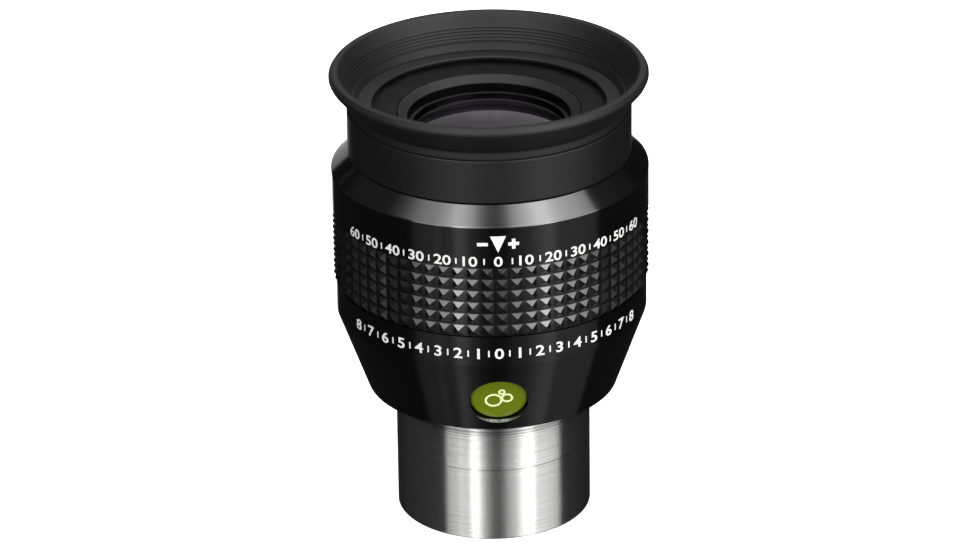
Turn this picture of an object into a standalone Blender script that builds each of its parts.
"""Telescope eyepiece with a 31.7 mm barrel: turned housing, pyramid grip, lens stack and fold-down rubber eyecup.

Every dimension below is in millimetres and becomes metres where a mesh is made. The optical axis is the Z
axis, the barrel's open end stands on z = 0, and the purge badge faces -Y.
"""

import math

import bmesh
import bpy
from mathutils import Matrix, Vector

MM = 0.001

# Clearances between pieces that touch on the real object
FIT = 0.3
SEAL_FIT = 0.1

# Facets round a full turn
FINE = 48
MEDIUM = 28
COARSE = 20

# Barrel
BARREL_R = 15.85
BARREL_BORE_R = 14.2
BARREL_CHAMFER = 0.4
BARREL_SEAT_Z = 23.2
BARREL_SPIGOT_R = 14.9
BARREL_TOP_Z = 26.0
BARREL_STEP_Z = 20.2
BARREL_STEP_R = 13.4
FIELD_STOP_Z = 18.2

# Lower housing: a cone that ends in a straight band
UNDERSIDE_Z = 22.2
UNDERSIDE_R = 20.35
LOWER_BAND_R = 25.17
LOWER_BAND_Z = 35.58
LOWER_TOP_Z = 40.75
CONE_SLOPE = math.atan2(LOWER_BAND_R - UNDERSIDE_R, LOWER_BAND_Z - UNDERSIDE_Z)
LIP_R = 13.9
LIP_TOP_Z = 27.0
LOWER_SOCKET_Z = 33.5
LOWER_SOCKET_R = 21.2

# Grip sleeve, with rows of square pyramids
GRIP_BOTTOM_Z = 40.9
GRIP_TOP_Z = 52.8
GRIP_BORE_R = 23.9
GRIP_VALLEY_R = 25.0
GRIP_PEAK_R = 25.55
GRIP_ROWS = 6
GRIP_AROUND = 68

# Main housing, hidden under the grip
MAIN_R = 23.6
MAIN_BORE_R = 16.5
MAIN_BOTTOM_Z = 33.8
MAIN_TOP_Z = 58.0
LOWER_SPIGOT_R = 20.9
UPPER_SPIGOT_R = 21.0
MAIN_SHOULDER_LOW_Z = 41.1
MAIN_SHOULDER_HIGH_Z = 52.6

# Upper housing: a straight band, a conical shoulder and the neck that carries the eyecup
UPPER_BOTTOM_Z = 52.95
UPPER_BAND_R = 25.53
UPPER_BAND_TOP_Z = 59.87
SHOULDER_TOP_Z = 62.5
SHOULDER_TOP_R = 22.6
NECK_R = 20.3
NECK_GROOVE_R = 19.5
NECK_GROOVE_Z = (65.5, 67.0)
NECK_TOP_Z = 68.9
FLOOR_Z = 69.3
FLOOR_R = 18.4
CELL_SPACE_TOP_Z = 66.3
RETAINER_BORE_R = 14.9

# Eyecup
COLLAR_R = 22.8
COLLAR_BORE_R = 20.6
COLLAR_BOTTOM_Z = 62.75
COLLAR_TOP_Z = 69.93
HINGE_R = 22.2
LEDGE_Z = 70.6
LEDGE_R = 18.7
WALL_BOTTOM_Z = 70.8
WALL_BOTTOM_R = 21.6
WALL_BEND_R = 21.8
WALL_BEND_Z = 72.2
WALL_TOP_Z = 74.4
WALL_TOP_R = 25.05
WALL_TOP_BORE_R = 23.1
FLARE_Z = 71.2
RIM_BOTTOM_Z = 74.6
RIM_BOTTOM_R = 25.25
RIM_BORE_R = 23.25
RIM_R = 25.54
RIM_BAND_Z = (75.3, 75.8)
RIM_SHOULDER = (25.35, 76.2)
RIM_TOP_Z = 76.4
RIM_CREST_R = (24.1, 25.0)
RIM_INNER_EDGE = (23.8, 76.0)

# Lens cell and what is stacked in it
CELL_BOTTOM_Z = 28.0
CELL_NOSE_R = 14.9
CELL_NOSE_TOP_Z = 34.0
CELL_R = 16.2
CELL_TOP_Z = 66.0
CELL_BORE_R = 14.6
CELL_FIELD_BORE_R = 13.9
CELL_FIELD_TOP_Z = 38.0
CELL_SEAT_R = 12.9
CELL_SEAT_Z = 28.8
FIELD_LENS_R = 13.6
STACK_R = 14.3
SPACER_BORE_R = 13.2
FIELD_RING_BORE_R = 12.4
FIELD_RING_SPIGOT_R = 13.2
FIELD_RING_Z = (37.3, 38.3, 39.8)
FIELD_SPACER_Z = (40.1, 46.6)
EYE_SPACER_Z = (51.1, 57.2)
RETAINER_R = 14.6
RETAINER_Z = (67.6, 69.25)
RETAINER_MOUTH_R = 13.1
RETAINER_MOUTH_Z = 68.3

# Lenses: apex heights below and above, then the radii of the lower and upper faces (0 is flat, below 0 hollow)
FIELD_LENS_FRONT = (29.8, 32.4, 0, -60.0)
FIELD_LENS_REAR = (32.7, 39.0, 60.0, 40.0)
MIDDLE_LENS = (45.5, 52.6, 70.0, 55.0)
EYE_LENS_REAR = (58.6, 60.6, -90.0, -42.0)
EYE_LENS_FRONT = (60.9, 68.4, 42.0, 50.0)

# Seals of the lens stack: ring radius, cord radius, height
LENS_CELL_SEAL = (14.4, 0.4, (LIP_TOP_Z + CELL_BOTTOM_Z) / 2)
FIELD_LENS_SEAL = (13.35, 0.3, CELL_SEAT_Z + 0.4)
EYE_LENS_SEAL = (13.7, 0.3, 67.05)

# Purge port, square to the cone's surface
PORT_Z = 28.0
BADGE_POCKET_R = 4.7
BADGE_POCKET_DEPTH = 1.6
BADGE_R = 4.5
BADGE_SUNK = 0.9
BADGE_THICK = 0.45
SCREW_POCKET_R = 3.0
SCREW_POCKET_DEPTH = 2.0
SCREW_HEAD_R = 2.6
SCREW_HEAD_THICK = 0.8
SCREW_SHANK_R = 1.5
SCREW_SHANK_LENGTH = 3.4
SCREW_SLOT_WIDTH = 0.6
SCREW_SLOT_DEPTH = 0.4
PORT_HOLE_DEPTH = 9.5
PORT_SEAL_RING_R = 2.15
PORT_SEAL_CORD_R = 0.3

# Colour, roughness, metallic
BLACK_ANODISE = ("black_anodise", (0.012, 0.012, 0.013, 1), 0.28, 0.6)
BLACK_CELL = ("black_cell", (0.02, 0.02, 0.02, 1), 0.6, 0.5)
STEEL = ("brushed_steel", (0.62, 0.61, 0.6, 1), 0.28, 1.0)
GRIP = ("grip_rubber", (0.02, 0.02, 0.021, 1), 0.42, 0.0)
EYECUP = ("eyecup_rubber", (0.028, 0.028, 0.029, 1), 0.62, 0.0)
SEAL = ("seal_rubber", (0.012, 0.012, 0.012, 1), 0.5, 0.0)
GLASS = ("coated_glass", (0.2, 0.14, 0.22, 1), 0.03, 0.0)
GREEN = ("badge_enamel", (0.13, 0.19, 0.008, 1), 0.2, 0.0)


def clear_scene():
    for obj in list(bpy.data.objects):
        bpy.data.objects.remove(obj, do_unlink=True)


def material(finish):
    name, colour, roughness, metallic = finish
    found = bpy.data.materials.get(name)
    if found:
        return found
    made = bpy.data.materials.new(name)
    made.use_nodes = True
    shader = made.node_tree.nodes["Principled BSDF"]
    shader.inputs["Base Color"].default_value = colour
    shader.inputs["Roughness"].default_value = roughness
    shader.inputs["Metallic"].default_value = metallic
    return made


def add_object(name, shape, finish, smooth_angle=35.0):
    """Makes an object from a bmesh in metres, and frees the bmesh."""
    bmesh.ops.recalc_face_normals(shape, faces=shape.faces)
    mesh = bpy.data.meshes.new(name)
    shape.to_mesh(mesh)
    shape.free()
    mesh.shade_smooth()
    mesh.set_sharp_from_angle(angle=math.radians(smooth_angle))
    mesh.materials.append(material(finish))
    obj = bpy.data.objects.new(name, mesh)
    bpy.context.collection.objects.link(obj)
    return obj


def spun(profile, facets, closed=True):
    """A bmesh of (radius, height) points turned round Z. An open profile starts and ends on the axis."""
    shape = bmesh.new()
    corners = [shape.verts.new((r * MM, 0.0, z * MM)) for r, z in profile]
    edges = [shape.edges.new(pair) for pair in zip(corners, corners[1:])]
    if closed:
        edges.append(shape.edges.new((corners[-1], corners[0])))
    bmesh.ops.spin(
        shape,
        geom=corners + edges,
        cent=(0, 0, 0),
        axis=(0, 0, 1),
        angle=math.tau,
        steps=facets,
        use_merge=True,
    )
    bmesh.ops.remove_doubles(shape, verts=shape.verts, dist=1e-7)
    return shape


def ring(name, profile, finish, facets=FINE):
    return add_object(name, spun(profile, facets), finish)


def tube(name, outer_r, inner_r, bottom, top, finish, facets=MEDIUM):
    profile = [(inner_r, bottom), (outer_r, bottom), (outer_r, top), (inner_r, top)]
    return ring(name, profile, finish, facets)


def o_ring(name, ring_r, cord_r, z, facets=MEDIUM, sides=6):
    turns = [math.tau * (i + 0.5) / sides for i in range(sides)]
    profile = [(ring_r + cord_r * math.cos(t), z + cord_r * math.sin(t)) for t in turns]
    return ring(name, profile, SEAL, facets)


def bulge(radius, r):
    """Height lost at distance r from the axis on a sphere of this radius. Zero for a flat face."""
    return radius - math.sqrt(radius * radius - r * r) if radius else 0.0


def lens(name, rim_r, bottom, top, lower_radius, upper_radius, steps=3, facets=COARSE):
    """A lens between two apex heights. A positive radius is a convex face, a negative one is hollow."""

    def face(apex, radius, outward):
        sign = outward * (1 if radius >= 0 else -1)
        stations = [rim_r * i / steps for i in range(steps + 1)]
        return [(r, apex - sign * bulge(abs(radius), r)) for r in stations]

    upper = face(top, upper_radius, 1)
    lower = face(bottom, lower_radius, -1)
    return add_object(name, spun(upper + lower[::-1], facets, closed=False), GLASS)


def port_frame():
    """Placement on the cone's surface at the badge: local +Z points out, square to the surface."""
    surface_r = UNDERSIDE_R + (PORT_Z - UNDERSIDE_Z) * math.tan(CONE_SLOPE)
    # A faceted cone's flat sides lie a little inside its true radius.
    surface_r *= math.cos(math.pi / FINE)
    outward = Vector((0, -math.cos(CONE_SLOPE), -math.sin(CONE_SLOPE)))
    turn = outward.to_track_quat("Z", "X").to_matrix().to_4x4()
    return Matrix.Translation((0, -surface_r * MM, PORT_Z * MM)) @ turn


def place_at_port(obj):
    obj.matrix_world = port_frame()
    return obj


def port_plug(name, radius, bottom, top, facets):
    """A hidden cylinder at the port, used to cut the housing."""
    profile = [(0, top), (radius, top), (radius, bottom), (0, bottom)]
    plug = place_at_port(add_object(name, spun(profile, facets, closed=False), SEAL))
    plug.hide_render = True
    plug.display_type = "WIRE"
    return plug


def cut(obj, cutter):
    modifier = obj.modifiers.new("cut_" + cutter.name, "BOOLEAN")
    modifier.operation = "DIFFERENCE"
    modifier.object = cutter


def make_barrel():
    ring(
        "barrel",
        [
            (BARREL_BORE_R + BARREL_CHAMFER, 0),
            (BARREL_R - BARREL_CHAMFER, 0),
            (BARREL_R, BARREL_CHAMFER),
            (BARREL_R, BARREL_SEAT_Z),
            (BARREL_SPIGOT_R, BARREL_SEAT_Z),
            (BARREL_SPIGOT_R, BARREL_TOP_Z),
            (BARREL_STEP_R, BARREL_TOP_Z),
            (BARREL_STEP_R, BARREL_STEP_Z),
            (BARREL_BORE_R, BARREL_STEP_Z),
            (BARREL_BORE_R, BARREL_CHAMFER),
        ],
        STEEL,
    )
    stop_top = BARREL_STEP_Z - FIT
    tube("field_stop", BARREL_BORE_R - FIT, SPACER_BORE_R, FIELD_STOP_Z, stop_top, BLACK_CELL)


def make_lower_housing():
    body = ring(
        "lower_housing",
        [
            (BARREL_R + FIT, UNDERSIDE_Z),
            (UNDERSIDE_R, UNDERSIDE_Z),
            (LOWER_BAND_R, LOWER_BAND_Z),
            (LOWER_BAND_R, LOWER_TOP_Z),
            (LOWER_SOCKET_R, LOWER_TOP_Z),
            (LOWER_SOCKET_R, LOWER_SOCKET_Z),
            (BARREL_SPIGOT_R + FIT, LOWER_SOCKET_Z),
            (BARREL_SPIGOT_R + FIT, LIP_TOP_Z),
            (LIP_R, LIP_TOP_Z),
            (LIP_R, BARREL_TOP_Z + FIT),
            (BARREL_SPIGOT_R + FIT, BARREL_TOP_Z + FIT),
            (BARREL_SPIGOT_R + FIT, BARREL_SEAT_Z + FIT),
            (BARREL_R + FIT, BARREL_SEAT_Z + FIT),
        ],
        BLACK_ANODISE,
    )
    screw_floor = -BADGE_POCKET_DEPTH - SCREW_POCKET_DEPTH
    outside = 2.0
    cut(body, port_plug("cut_badge_pocket", BADGE_POCKET_R, -BADGE_POCKET_DEPTH, outside, MEDIUM))
    cut(body, port_plug("cut_screw_pocket", SCREW_POCKET_R, screw_floor, outside, COARSE))
    cut(body, port_plug("cut_port_hole", SCREW_SHANK_R + FIT, -PORT_HOLE_DEPTH, outside, COARSE))


def make_purge_port():
    top = -BADGE_SUNK
    bottom = top - BADGE_THICK
    bevel = 0.12
    disc = [(0, top), (BADGE_R - bevel, top), (BADGE_R, top - bevel), (BADGE_R, bottom), (0, bottom)]
    place_at_port(add_object("purge_badge", spun(disc, MEDIUM, closed=False), GREEN))

    head_top = -BADGE_POCKET_DEPTH - FIT
    head_bottom = head_top - SCREW_HEAD_THICK
    shank_bottom = head_bottom - SCREW_SHANK_LENGTH
    outline = [
        (0, head_top),
        (SCREW_HEAD_R, head_top),
        (SCREW_HEAD_R, head_bottom),
        (SCREW_SHANK_R, head_bottom),
        (SCREW_SHANK_R, shank_bottom),
        (0, shank_bottom),
    ]
    screw = place_at_port(add_object("purge_screw", spun(outline, COARSE, closed=False), STEEL))
    slot = bmesh.new()
    size = Vector((3 * SCREW_HEAD_R, SCREW_SLOT_WIDTH, 2 * SCREW_SLOT_DEPTH)) * MM
    bmesh.ops.create_cube(slot, size=1.0, matrix=Matrix.Diagonal((*size, 1.0)))
    bmesh.ops.translate(slot, verts=slot.verts, vec=(0, 0, head_top * MM))
    cutter = place_at_port(add_object("cut_screw_slot", slot, SEAL))
    cutter.hide_render = True
    cutter.display_type = "WIRE"
    cut(screw, cutter)

    seal_z = head_bottom - PORT_SEAL_CORD_R - SEAL_FIT
    place_at_port(o_ring("purge_screw_seal", PORT_SEAL_RING_R, PORT_SEAL_CORD_R, seal_z, COARSE))


def make_grip():
    """One sleeve: the outer face is a grid of square cells, each raised to a point."""
    shape = bmesh.new()
    pitch = math.tau / GRIP_AROUND
    row_height = (GRIP_TOP_Z - GRIP_BOTTOM_Z) / GRIP_ROWS

    def point(r, turn, z):
        angle = turn * pitch - math.pi / 2
        return shape.verts.new((r * MM * math.cos(angle), r * MM * math.sin(angle), z * MM))

    def circle(r, z):
        return [point(r, column, z) for column in range(GRIP_AROUND)]

    levels = [GRIP_BOTTOM_Z + row * row_height for row in range(GRIP_ROWS + 1)]
    valleys = [circle(GRIP_VALLEY_R, z) for z in levels]
    for row, (low, high) in enumerate(zip(valleys, valleys[1:])):
        for column in range(GRIP_AROUND):
            after = (column + 1) % GRIP_AROUND
            peak = point(GRIP_PEAK_R, column + 0.5, levels[row] + row_height / 2)
            cell = (low[column], low[after], high[after], high[column])
            for a, b in zip(cell, cell[1:] + cell[:1]):
                shape.faces.new((a, b, peak))
    bore = [circle(GRIP_BORE_R, z) for z in (GRIP_BOTTOM_Z, GRIP_TOP_Z)]
    for a, b in ((valleys[0], bore[0]), (bore[0], bore[1]), (bore[1], valleys[-1])):
        for column in range(GRIP_AROUND):
            after = (column + 1) % GRIP_AROUND
            shape.faces.new((a[column], a[after], b[after], b[column]))
    add_object("grip_sleeve", shape, GRIP, smooth_angle=5.0)


def make_main_housing():
    groove_depth = 1.05
    groove_height = 1.6
    low_groove = 36.0
    high_groove = 55.0

    def groove(outer_r, bottom):
        floor_r = outer_r - groove_depth
        top = bottom + groove_height
        return [(outer_r, bottom), (floor_r, bottom), (floor_r, top), (outer_r, top)]

    ring(
        "main_housing",
        [
            (MAIN_BORE_R, MAIN_BOTTOM_Z),
            (LOWER_SPIGOT_R, MAIN_BOTTOM_Z),
            *groove(LOWER_SPIGOT_R, low_groove),
            (LOWER_SPIGOT_R, MAIN_SHOULDER_LOW_Z),
            (MAIN_R, MAIN_SHOULDER_LOW_Z),
            (MAIN_R, MAIN_SHOULDER_HIGH_Z),
            (UPPER_SPIGOT_R, MAIN_SHOULDER_HIGH_Z),
            *groove(UPPER_SPIGOT_R, high_groove),
            (UPPER_SPIGOT_R, MAIN_TOP_Z),
            (MAIN_BORE_R, MAIN_TOP_Z),
        ],
        BLACK_ANODISE,
    )
    cord_r = 0.55
    inset = 0.4
    o_ring("lower_housing_seal", LOWER_SPIGOT_R - inset, cord_r, low_groove + groove_height / 2)
    o_ring("upper_housing_seal", UPPER_SPIGOT_R - inset, cord_r, high_groove + groove_height / 2)


def make_upper_housing():
    ring(
        "upper_housing",
        [
            (UPPER_SPIGOT_R + FIT, UPPER_BOTTOM_Z),
            (UPPER_BAND_R, UPPER_BOTTOM_Z),
            (UPPER_BAND_R, UPPER_BAND_TOP_Z),
            (SHOULDER_TOP_R, SHOULDER_TOP_Z),
            (NECK_R, SHOULDER_TOP_Z),
            (NECK_R, NECK_GROOVE_Z[0]),
            (NECK_GROOVE_R, NECK_GROOVE_Z[0]),
            (NECK_GROOVE_R, NECK_GROOVE_Z[1]),
            (NECK_R, NECK_GROOVE_Z[1]),
            (NECK_R, NECK_TOP_Z),
            (FLOOR_R, NECK_TOP_Z),
            (FLOOR_R, FLOOR_Z),
            (RETAINER_BORE_R, FLOOR_Z),
            (RETAINER_BORE_R, CELL_SPACE_TOP_Z),
            (MAIN_BORE_R, CELL_SPACE_TOP_Z),
            (MAIN_BORE_R, MAIN_TOP_Z + FIT),
            (UPPER_SPIGOT_R + FIT, MAIN_TOP_Z + FIT),
        ],
        BLACK_ANODISE,
    )


def make_eyecup():
    """One rubber moulding in three solids, so that its rim can fold down outside the collar."""
    bead_low = NECK_GROOVE_Z[0] + FIT
    bead_high = NECK_GROOVE_Z[1] - FIT
    bead_r = NECK_GROOVE_R + FIT
    flange_z = NECK_TOP_Z + FIT
    ring(
        "eyecup_base",
        [
            (COLLAR_BORE_R, COLLAR_BOTTOM_Z),
            (COLLAR_R, COLLAR_BOTTOM_Z),
            (COLLAR_R, COLLAR_TOP_Z),
            (HINGE_R, COLLAR_TOP_Z),
            (HINGE_R, LEDGE_Z),
            (LEDGE_R, LEDGE_Z),
            (LEDGE_R, flange_z),
            (COLLAR_BORE_R, flange_z),
            (COLLAR_BORE_R, bead_high),
            (bead_r, bead_high),
            (bead_r, bead_low),
            (COLLAR_BORE_R, bead_low),
        ],
        EYECUP,
    )
    ring(
        "eyecup_wall",
        [
            (WALL_BOTTOM_R, WALL_BOTTOM_Z),
            (HINGE_R, WALL_BOTTOM_Z),
            (HINGE_R, FLARE_Z),
            (WALL_TOP_R, WALL_TOP_Z),
            (WALL_TOP_BORE_R, WALL_TOP_Z),
            (WALL_BEND_R, WALL_BEND_Z),
        ],
        EYECUP,
    )
    ring(
        "eyecup_rim",
        [
            (RIM_BORE_R, RIM_BOTTOM_Z),
            (RIM_BOTTOM_R, RIM_BOTTOM_Z),
            (RIM_R, RIM_BAND_Z[0]),
            (RIM_R, RIM_BAND_Z[1]),
            RIM_SHOULDER,
            (RIM_CREST_R[1], RIM_TOP_Z),
            (RIM_CREST_R[0], RIM_TOP_Z),
            RIM_INNER_EDGE,
        ],
        EYECUP,
    )


def make_lens_stack():
    ring(
        "lens_cell",
        [
            (CELL_SEAT_R, CELL_BOTTOM_Z),
            (CELL_NOSE_R, CELL_BOTTOM_Z),
            (CELL_NOSE_R, CELL_NOSE_TOP_Z),
            (CELL_R, CELL_NOSE_TOP_Z),
            (CELL_R, CELL_TOP_Z),
            (CELL_BORE_R, CELL_TOP_Z),
            (CELL_BORE_R, CELL_FIELD_TOP_Z),
            (CELL_FIELD_BORE_R, CELL_FIELD_TOP_Z),
            (CELL_FIELD_BORE_R, CELL_SEAT_Z),
            (CELL_SEAT_R, CELL_SEAT_Z),
        ],
        BLACK_CELL,
        MEDIUM,
    )
    o_ring("lens_cell_seal", *LENS_CELL_SEAL)
    o_ring("field_lens_seal", *FIELD_LENS_SEAL)
    lens("field_lens_front", FIELD_LENS_R, *FIELD_LENS_FRONT)
    lens("field_lens_rear", FIELD_LENS_R, *FIELD_LENS_REAR)
    ring_bottom, ring_step, ring_top = FIELD_RING_Z
    ring(
        "field_lens_retainer",
        [
            (FIELD_RING_BORE_R, ring_bottom),
            (FIELD_RING_SPIGOT_R, ring_bottom),
            (FIELD_RING_SPIGOT_R, ring_step),
            (STACK_R, ring_step),
            (STACK_R, ring_top),
            (FIELD_RING_BORE_R, ring_top),
        ],
        BLACK_CELL,
        MEDIUM,
    )
    tube("field_spacer", STACK_R, SPACER_BORE_R, *FIELD_SPACER_Z, BLACK_CELL)
    lens("middle_lens", STACK_R, *MIDDLE_LENS)
    tube("eye_spacer", STACK_R, SPACER_BORE_R, *EYE_SPACER_Z, BLACK_CELL)
    lens("eye_lens_rear", STACK_R, *EYE_LENS_REAR)
    lens("eye_lens_front", STACK_R, *EYE_LENS_FRONT)
    o_ring("eye_lens_seal", *EYE_LENS_SEAL)
    ring(
        "eye_lens_retainer",
        [
            (RETAINER_MOUTH_R, RETAINER_Z[0]),
            (RETAINER_R, RETAINER_Z[0]),
            (RETAINER_R, RETAINER_Z[1]),
            (RETAINER_MOUTH_R, RETAINER_MOUTH_Z),
        ],
        BLACK_ANODISE,
    )


def main():
    clear_scene()
    make_barrel()
    make_lower_housing()
    make_purge_port()
    make_grip()
    make_main_housing()
    make_upper_housing()
    make_eyecup()
    make_lens_stack()


main()
